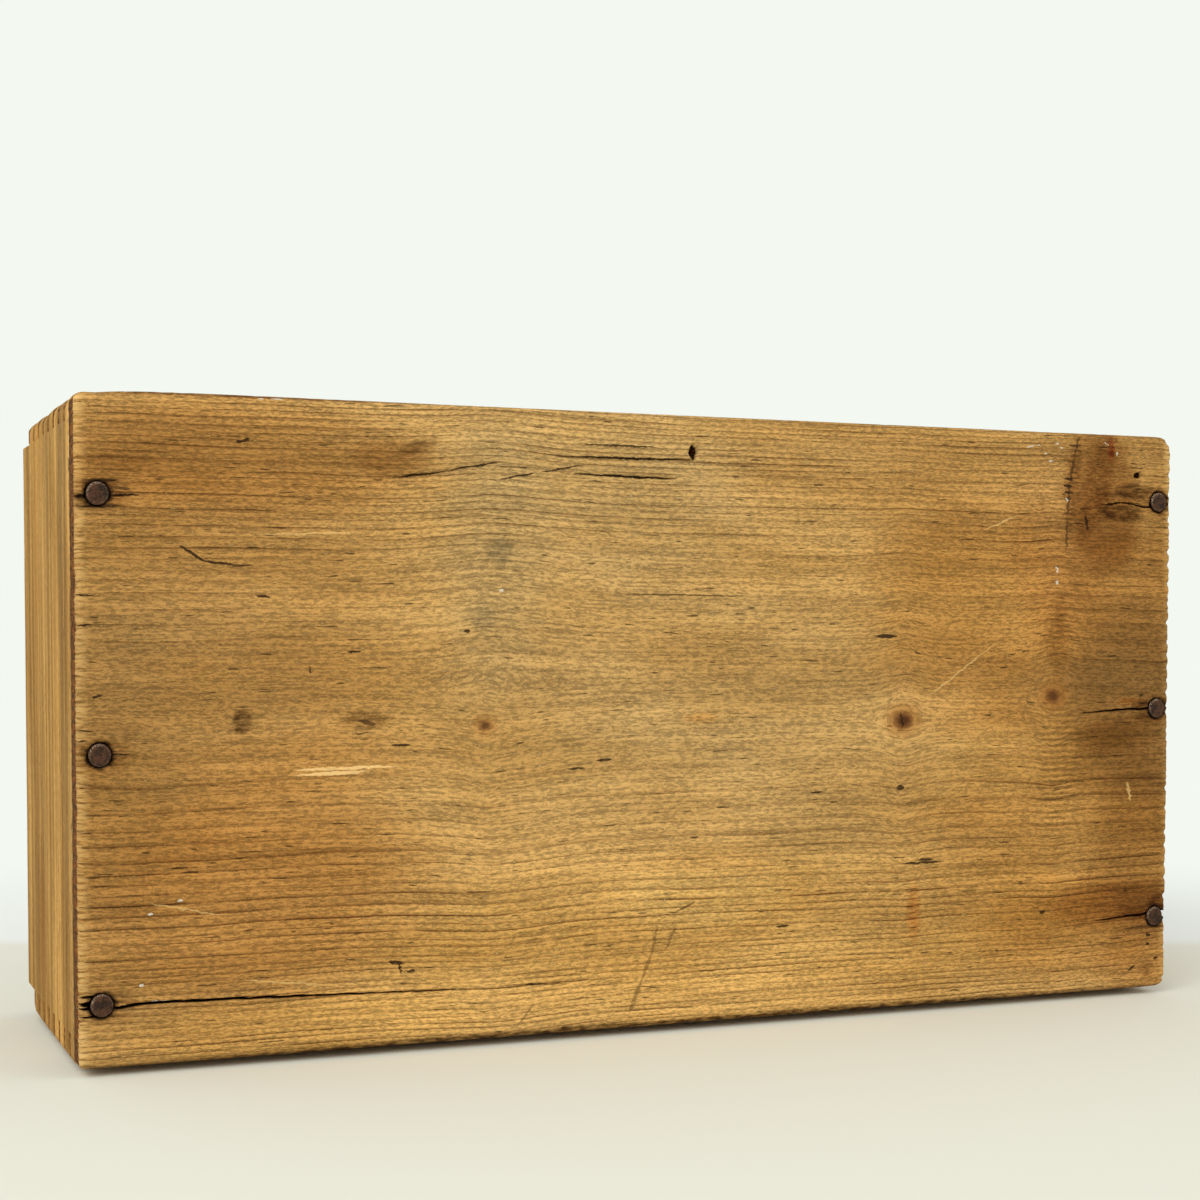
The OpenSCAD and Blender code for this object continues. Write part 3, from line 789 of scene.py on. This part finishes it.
def faceDepth(x, z, ends, edges, plan, nails):
    left, right = x - ends[0], ends[1] - x
    down, up = z - edges[0], edges[1] - z
    middle = (edges[0] + edges[1]) / 2
    deep = plan["cup"] * ((z - middle) / (edges[1] - middle)) ** 2
    deep += plan["ripple"] * (0.5 + 0.5 * bump(x * 0.008, z * 0.05, 3))
    deep += plan["furrow"] * (0.5 + 0.5 * bump(x * 0.02, z * 0.5, 8))
    nearEnd = min(left, right)
    gap = max(0.0, bump(5 if left < right else 6, z * 0.42, x * 0.03) + 0.1)
    deep += gap * plan["fray"] * math.exp(-max(nearEnd, 0.0) / plan["frayReach"])
    deep += roundOff(nearEnd, plan["endArris"])
    deep += roundOff(down, plan["lowArris"]) + roundOff(up, plan["topArris"])
    for nx, nz in nails:
        off = math.hypot((x - nx) * 0.8, z - nz)
        if off < 3 * plan["dishReach"]:
            deep += plan["dish"] * math.exp(-((off / plan["dishReach"]) ** 2))
            rim = plan["pocket"] + 0.35 * bump(math.atan2(z - nz, x - nx) * 1.3, nx, nz)
            real = math.hypot(x - nx, z - nz)
            deep += plan["pocketDeep"] * (1 - ease(real, rim - 0.25, rim + 0.45))
    for crack in plan["splits"]:
        off, where = awayFrom(crack["points"], x, z + 0.35 * bump(x * 0.2, 3))
        half = crack["half"] * (1 - 0.75 * where ** 2) * (1 + 0.4 * bump(x * 0.3, 14))
        if off < 2 * half:
            deep += crack["deep"] * (1 - ease(off, half * 0.5, half * 1.3)) * (1 - 0.5 * where)
    for hole in plan["holes"]:
        off = math.hypot((x - hole["at"][0]) / hole["size"][0], (z - hole["at"][1]) / hole["size"][1])
        off += 0.3 * bump(x * 0.8, z * 0.8, 2)
        deep += hole["deep"] * (1 - ease(off, 0.5, 1.2))
    return deep


def makeBottomBoard(plan, material):
    low, high = boxMm("bottom_board")
    nails = nailSpots()
    zone = plan["endZone"]
    colZones = [(low.x, low.x + zone), (high.x - zone, high.x)]
    holeSpots = [hole["at"][0] for hole in plan["holes"]]
    colZones += [(x - 3, x + 3) for x in holeSpots if abs(x) < high.x - zone - 3]
    cols = gridLines(low.x, high.x, plan["midStep"], plan["endStep"], sorted(colZones))
    rowZones = [(low.z, low.z + plan["edgeZone"]), *plan["fineRows"], (high.z - plan["edgeZone"], high.z)]
    rows = gridLines(low.z, high.z, plan["rowStep"], plan["fineRow"], rowZones)
    bm = bmesh.new()
    bmesh.ops.create_grid(bm, x_segments=len(cols) - 1, y_segments=len(rows) - 1, size=0.5)
    colLayer = bm.verts.layers.int.new("col")
    rowLayer = bm.verts.layers.int.new("row")
    endsAt = [boardEnds(z, low, high, plan, 1.0) for z in rows]
    edgesAt = [boardEdges(x, low, high, plan, 1.0) for x in cols]

    def spread(value, start, end, newStart, newEnd):
        return newStart + (value - start) / (end - start) * (newEnd - newStart)

    for v in bm.verts:
        col = round((v.co.x + 0.5) * (len(cols) - 1))
        row = round((v.co.y + 0.5) * (len(rows) - 1))
        v[colLayer], v[rowLayer] = col, row
        x = spread(cols[col], low.x, high.x, *endsAt[row])
        z = spread(rows[row], low.z, high.z, *edgesAt[col])
        deep = faceDepth(x, z, endsAt[row], edgesAt[col], plan, nails)
        v.co = (x, low.y + deep, z)
    thick = high.y - low.y
    deepest = max(v.co.y for v in bm.verts if v.is_boundary) - low.y
    backArris = plan["backArris"]
    layers = [(max(deepest + 0.3, 3.2), 0.6), (6.0, 0.3), (9.0, 0.25),      # depth, and how raw the edge is
              (thick - backArris, 0.25), (thick, 0.3)]
    rim = [e for e in bm.edges if e.is_boundary]
    for depth, raw in layers:                # the board's edges, smoother below the worn face
        made = bmesh.ops.extrude_edge_only(bm, edges=rim)["geom"]
        rim = [g for g in made if isinstance(g, bmesh.types.BMEdge) and g.is_boundary]
        back = backArris if depth >= thick else 0.0
        for v in (g for g in made if isinstance(g, bmesh.types.BMVert)):
            col, row = v[colLayer], v[rowLayer]
            ends = boardEnds(rows[row], low, high, plan, raw)
            edges = boardEdges(cols[col], low, high, plan, raw)
            rough = 0.2 * (1 + bump(cols[col] * 0.7, rows[row] * 0.7, depth * 0.6))
            x = spread(cols[col], low.x, high.x, ends[0] + rough + back, ends[1] - rough - back)
            z = spread(rows[row], low.z, high.z, edges[0] + back, edges[1] - back)
            v.co = (x, low.y + depth, z)
    bmesh.ops.holes_fill(bm, edges=rim, sides=0)
    return finishPiece(bm, "bottomBoard", "crate", material, ["bottom_board"],
                       sharpAngle=60)


for spot in nailSpots():         # iron has blackened the wood round the nails
    bottomLook["stainsAndPaintedLight"].append(patch(spot, (13, 7), (0.62, 0.54, 0.48)))
    bottomLook["stainsAndPaintedLight"].append(patch(spot, (5.4, 5), (0.18, 0.16, 0.15), core=0.75))
bottomLook["box"] = boxMm("bottom_board")
makeBottomBoard(bottomBoard, pineMaterial(bottomLook))


# Carcass: two ends and two long sides with finger-jointed corners

carcass = {
    "fingers": 16,
    "coarse": 9.0, "fine": 1.1,      # grid along the grain, finer at the joints
    "fingerCuts": 3,                 # grid steps across one finger
    "arris": 0.55, "chips": 1.6,
    "cornerRadius": 5.0,             # worn far corners, longer along the ends' edges
    "cornerStretch": 2.2,
    "cornerReach": (34, 8),          # how far in from the ends that wear begins and is full
    "rimRadius": 1.2,
    "endRadius": (2.0, 5.6),         # lower and upper arris where the ends meet the long sides
    "layers": (1.0, 2.1, 3.3, 4.7, 6.2),     # grid through the thickness, in from the outer face
}

endLook = {
    "name": "endPine", "axes": "ZYX", "pith": (20, -176), "seed": 120, "rings": (0.05, 0.002), "face": -200,
    "pale": (203, 157, 86), "deep": (180, 133, 66), "band": (0.66, 1.14), "fibre": (0.72, 1.22),
    "line": (112, 68, 28), "lineShare": 0.75, "glint": (232, 192, 122), "glintShare": 0.3,
    "fleck": (100, 66, 30), "fleckShare": 0.4, "crack": (44, 29, 17),
    "endDark": (122, 76, 34), "endPale": (182, 132, 70), "endShare": 0.75,
}
leftEndLook = dict(endLook, name="leftEndPine", stainsAndPaintedLight=[
    patch((103, -48.4), (300, 1.9), (1.36, 1.52, 1.90), core=0.6),      # painted highlight along the near arris
    patch((103, -36), (220, 10), (0.78, 0.78, 0.82), core=0.6),
    patch((60, -23.5), (140, 1.6), (1.30, 1.32, 1.36)),
], tints=[
    patch((30, 20), (50, 12), (0.92, 0.84, 0.72)),
])
rightEndLook = dict(endLook, name="rightEndPine", seed=310, pith=(-35, 170), face=200)
sideLook = dict(endLook, name="sidePine", axes="XYZ", seed=800, pith=(10, -30), face=0,
                endDark=(84, 46, 16), endPale=(164, 112, 56), endShare=0.9, band=(0.78, 1.12))
rearLook = dict(sideLook, name="rearPine", seed=990, pith=(-8, 233), face=206)
lidLook = dict(endLook, name="lidPine", axes="XZY", seed=640, pith=(96, 92), face=61.5,
               rings=(0.063, 0.00218), band=(0.8, 1.1))


def cellBoard(aLines, bLines, thick, keep, layers=()):      # a along the grain, b across it, c through
    bm = bmesh.new()
    bmesh.ops.create_grid(bm, x_segments=len(aLines) - 1, y_segments=len(bLines) - 1, size=0.5)
    for v in bm.verts:
        a = aLines[round((v.co.x + 0.5) * (len(aLines) - 1))]
        b = bLines[round((v.co.y + 0.5) * (len(bLines) - 1))]
        v.co = (a, b, thick[0])
    gone = [f for f in bm.faces if not keep(*f.calc_center_median()[:2])]
    bmesh.ops.delete(bm, geom=gone, context="FACES")
    made = bmesh.ops.extrude_face_region(bm, geom=bm.faces[:])["geom"]
    lifted = [g for g in made if isinstance(g, bmesh.types.BMVert)]
    bmesh.ops.translate(bm, vec=(0, 0, thick[1] - thick[0]), verts=lifted)
    for c in layers:
        everything = bm.verts[:] + bm.edges[:] + bm.faces[:]
        bmesh.ops.bisect_plane(bm, geom=everything, plane_co=(0, 0, c), plane_no=(0, 0, 1), dist=0.0001)
    return bm


def layerCuts(low, high, middle, plan):      # counted in from the face that is farther out
    outer, inward = (low, 1) if low + high < 2 * middle else (high, -1)
    return [outer + inward * step for step in plan["layers"]]


def softenArrises(bm, width):
    faceOutwards(bm)
    corners = [e for e in bm.edges if e.calc_face_angle_signed(0) > 0.5]
    bmesh.ops.bevel(bm, geom=corners, offset=width, offset_type="OFFSET", segments=2, profile=0.5,
                    affect="EDGES", material=-1, clamp_overlap=True)


def turnAxes(bm, axes):          # from along, across, through to X, Y, Z
    for v in bm.verts:
        v.co = [v.co[axes.index(axis)] for axis in "XYZ"]
    faceOutwards(bm)


def wearDown(bm, seed, chips):   # arrises lose small chips, faces stay nearly flat
    bm.normal_update()
    moves = []
    for v in bm.verts:
        sharp = 1 - max(abs(n) for n in v.normal)
        chip = max(0.0, bump(v.co.x * 0.16 + seed, v.co.y * 0.16, v.co.z * 0.16) - 0.1)
        flat = 0.05 * (1 + bump(v.co.x * 0.05, v.co.y * 0.05 + seed, v.co.z * 0.05))
        moves.append(v.normal * -(flat + sharp * chips * chip))
    for v, move in zip(bm.verts, moves):
        v.co += move


def roundCorner(v, axis, side, edge, topZ, radius, stretch=1.0):     # back onto the round, if outside it
    out = (side * v.co[axis] - edge) / stretch + radius
    up = radius - min(v.co.z, topZ - v.co.z)
    reach = math.hypot(out, up)
    if out > 0 and up > 0 and reach > radius:
        v.co[axis] = side * (edge + (out * radius / reach - radius) * stretch)
        drop = radius - up * radius / reach
        v.co.z = drop if v.co.z < topZ / 2 else topZ - drop


def roundCorners(bm, plan, rimY, topZ, endX):    # the sides' rims, then the arrises along the finger joints
    for v in bm.verts:
        near = ease(abs(v.co.x), *(endX - reach for reach in plan["cornerReach"]))
        radius = plan["rimRadius"] + (plan["cornerRadius"] - plan["rimRadius"]) * near
        roundCorner(v, 1, 1, rimY, topZ, radius, 1 + (plan["cornerStretch"] - 1) * near)
        radius = plan["endRadius"][0 if v.co.z < topZ / 2 else 1]
        radius *= 1 + 0.3 * bump(v.co.y * 0.06, v.co.x * 0.02, v.co.z * 0.02)
        roundCorner(v, 0, math.copysign(1, v.co.x), endX, topZ, radius)


def workBoard(bm, look, plan):   # eased arrises, turned into place and worn
    softenArrises(bm, plan["arris"])
    turnAxes(bm, look["axes"])
    wearDown(bm, look["seed"], plan["chips"])


def fingerLines(plan):           # grid lines across the fingers
    low, high = boxMm("front_side")
    count = plan["fingers"] * plan["fingerCuts"]
    return [low.y + (high.y - low.y) * i / count for i in range(count + 1)]


def fingerNumber(y, plan):
    low, high = boxMm("front_side")
    return math.floor((y - low.y) / (high.y - low.y) * plan["fingers"])


def makeCarcassBoard(node, name, look, mate, odd, plan):   # odd says which fingers are its own
    low, high = boxMm(node)
    along, across, through = ("XYZ".index(axis) for axis in look["axes"])
    rimY = boxMm("front_side")[1].y
    endX, topZ = boxMm("right_end")[1].xz
    middle = (0, 0, topZ / 2)
    start = boxMm(mate)[1][along]            # the joints lie before start and past end
    end = 2 * middle[along] - start
    zones = [(low[along], start), (end, high[along])]
    aLines = gridLines(low[along], high[along], plan["coarse"], plan["fine"], zones)
    bLines = fingerLines(plan)
    bLines += gridLines(bLines[-1], high[across], plan["fine"])[1:]

    def keep(a, y):
        return start <= a <= end or (y < rimY and fingerNumber(y, plan) % 2 == odd)

    thick = (low[through], high[through])
    bm = cellBoard(aLines, bLines, thick, keep, layerCuts(*thick, middle[through], plan))
    workBoard(bm, look, plan)
    roundCorners(bm, plan, rimY, topZ, endX)
    return finishPiece(bm, name, "crate", pineMaterial(look), [node])


for node, name, look in (("left_end", "leftEnd", leftEndLook), ("right_end", "rightEnd", rightEndLook)):
    makeCarcassBoard(node, name, look, "front_side", 0, carcass)
for node, name, look in (("front_side", "frontSide", sideLook), ("rear_side", "rearSide", rearLook)):
    makeCarcassBoard(node, name, look, "left_end", 1, carcass)


# Lid: one board let in between the ends

lid = {"along": 6.0, "across": 4.0, "arris": 1.0, "chips": 2.0}


def makeLid(plan, look):
    low, high = boxMm("lid_board")
    aLines = gridLines(low.x, high.x, plan["along"])
    bLines = gridLines(low.z, high.z, plan["across"])
    bm = cellBoard(aLines, bLines, (low.y, high.y), lambda x, z: True)
    workBoard(bm, look, plan)
    return finishPiece(bm, "lidBoard", "lid", pineMaterial(look), ["lid_board"])


makeLid(lid, lidLook)


# Nails: round wire nails with hammered, rusty heads

nail = {
    "steps": 40,
    "profile": [(0, 0.10), (0.9, 0.09), (1.8, 0.07), (2.6, 0.08), (3.15, 0.16), (3.45, 0.36), (3.52, 0.62),
                (3.4, 0.95), (2.9, 1.18), (1.54, 1.2), (1.52, 12), (1.5, 30), (1.46, 45.5), (0.6, 48.6),
                (0, 49.9)],      # radius, and depth from the head's face
    "headDeep": 1.0,         # only the head is hammered
    "dent": 0.16, "tilt": 0.035, "squash": 0.03,
    "rim": (2.7, 3.3),       # the band with a painted highlight on the head's rim, most of all up and to the left
    "brightWay": (-0.57, 0.82),
}


def ironMaterial(look):
    made, tree, shader = newMaterial(look["name"])
    place = vecCalc(tree, "MULTIPLY", addNode(tree, "TexCoord").outputs["Object"], (1 / mm, 1 / mm, 1 / mm))
    blotch = noiseAt(tree, place, (0.5, 0.5, 0.5), (look["seed"], 0, 0), 4.0, 0.6)
    speck = noiseAt(tree, place, (3.2, 3.2, 3.2), (0, look["seed"], 0), 3.0, 0.6)
    brushed = noiseAt(tree, place, (1.2, 1.2, 7.0), (0, 0, look["seed"]), 2.0, 0.6)
    rust = fade(tree, blotch, 0.42, 0.62)
    iron = blend(tree, fade(tree, speck, 0.35, 0.7), tone(*look["dark"]), tone(*look["iron"]))
    iron = blend(tree, rust, iron, tone(*look["rust"]))
    iron = blend(tree, fade(tree, brushed, 0.34, 0.46, 0.7, 0.0), iron, tone(*look["dark"]))
    iron = blend(tree, fade(tree, brushed, 0.58, 0.75, 0.0, look["bright"]), iron, tone(*look["worn"]))
    rim = addNode(tree, "Attribute", attribute_name="rim").outputs["Fac"]      # painted highlight on the rims, on nails only
    iron = blend(tree, times(tree, rim, fade(tree, speck, 0.46, 0.6)), iron, tone(*look["worn"]))
    wire(tree, iron, shader.inputs["Base Color"])
    shader.inputs["Specular IOR Level"].default_value = look["gloss"]
    if look["metal"]:
        wire(tree, timesPlus(tree, rust, -0.45, look["metal"]), shader.inputs["Metallic"])
    wire(tree, fade(tree, speck, 0.3, 0.7, 0.42, 0.75), shader.inputs["Roughness"])
    height = timesPlus(tree, speck, 0.10, times(tree, brushed, 0.08))
    height = timesPlus(tree, blotch, 0.12, height)
    relief = addNode(tree, "Bump", {"Strength": 0.7, "Distance": mm, "Height": height})
    wire(tree, relief.outputs[0], shader.inputs["Normal"])
    return made


# worn is rubbed bright iron, and also the painted highlight on the nails' rims
nailLook = {"name": "nailIron", "seed": 3, "dark": (24, 16, 11), "iron": (76, 57, 44), "rust": (84, 56, 39),
            "worn": (176, 148, 121), "bright": 0.25, "metal": 0.0, "gloss": 0.08}


def makeNail(name, plan, material):
    low, high = boxMm(name)
    centre = Vector(((low.x + high.x) / 2, low.y, (low.z + high.z) / 2))
    bm = bmesh.new()
    rim = [bm.verts.new((r, y, 0)) for r, y in plan["profile"]]
    edges = [bm.edges.new(pair) for pair in zip(rim, rim[1:])]
    bmesh.ops.spin(bm, geom=rim + edges, cent=(0, 0, 0), axis=(0, 1, 0), angle=math.tau,
                   steps=plan["steps"], use_merge=True)
    bmesh.ops.remove_doubles(bm, verts=bm.verts[:], dist=0.001)
    seed = centre.x * 0.37 + centre.z * 0.11
    lean = (bump(seed, 1) * plan["tilt"], bump(seed, 2) * plan["tilt"])
    rimHighlightLayer = bm.verts.layers.float.new("rim")
    for v in bm.verts:
        away = math.hypot(v.co.x, v.co.z)
        way = (v.co.x * plan["brightWay"][0] + v.co.z * plan["brightWay"][1]) / max(away, 0.1)
        v[rimHighlightLayer] = ease(away, *plan["rim"]) * (0.2 + 0.8 * ease(way, 0.1, 0.9)) if v.co.y < 0.7 else 0.0
        if v.co.y < plan["headDeep"]:
            hit = plan["dent"] * max(0.0, bump(v.co.x * 0.5 + seed, v.co.z * 0.5) + 0.15)
            v.co.y += hit + max(0.0, 0.1 + lean[0] * v.co.x + lean[1] * v.co.z)
            v.co.x *= 1 - plan["squash"] * (1 + bump(v.co.x * 0.4, v.co.z * 0.4, seed))
    bmesh.ops.translate(bm, vec=centre, verts=bm.verts[:])
    words = name.split("_")
    pieceName = words[0] + "".join(w.capitalize() for w in words[1:])
    finishPiece(bm, pieceName, "crate", material, [name], sharpAngle=50)


nailIron = ironMaterial(nailLook)
for nailName in nailNames:
    makeNail(nailName, nail, nailIron)


# Hinges and their screws keep their CAD shape, with eased edges and aged iron

hingeLook = {"name": "hingeIron", "seed": 17, "dark": (52, 44, 40), "iron": (96, 86, 78),
             "rust": (98, 62, 42), "worn": (186, 170, 152), "bright": 0.45, "metal": 0.8, "gloss": 0.5}
screwLook = dict(hingeLook, name="screwIron", seed=29, iron=(104, 92, 80), bright=0.6)
ironEdges = {"weld": 0.002, "eased": 0.12, "sharpAngle": 40}


def dressIron(node, material):
    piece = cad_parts[node]
    piece.data.materials.clear()
    piece.data.materials.append(material)
    weld = piece.modifiers.new("weld", "WELD")
    weld.merge_threshold = ironEdges["weld"] * mm
    bevel = piece.modifiers.new("easedEdge", "BEVEL")
    bevel.width = ironEdges["eased"] * mm
    bevel.segments = 2
    bevel.limit_method = "ANGLE"
    bevel.angle_limit = math.radians(ironEdges["sharpAngle"])


hingeIron = ironMaterial(hingeLook)
screwIron = ironMaterial(screwLook)
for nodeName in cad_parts:
    if "_screw_" in nodeName:
        dressIron(nodeName, screwIron)
    elif "_hinge_" in nodeName:
        dressIron(nodeName, hingeIron)
print("hinges and screws dressed")
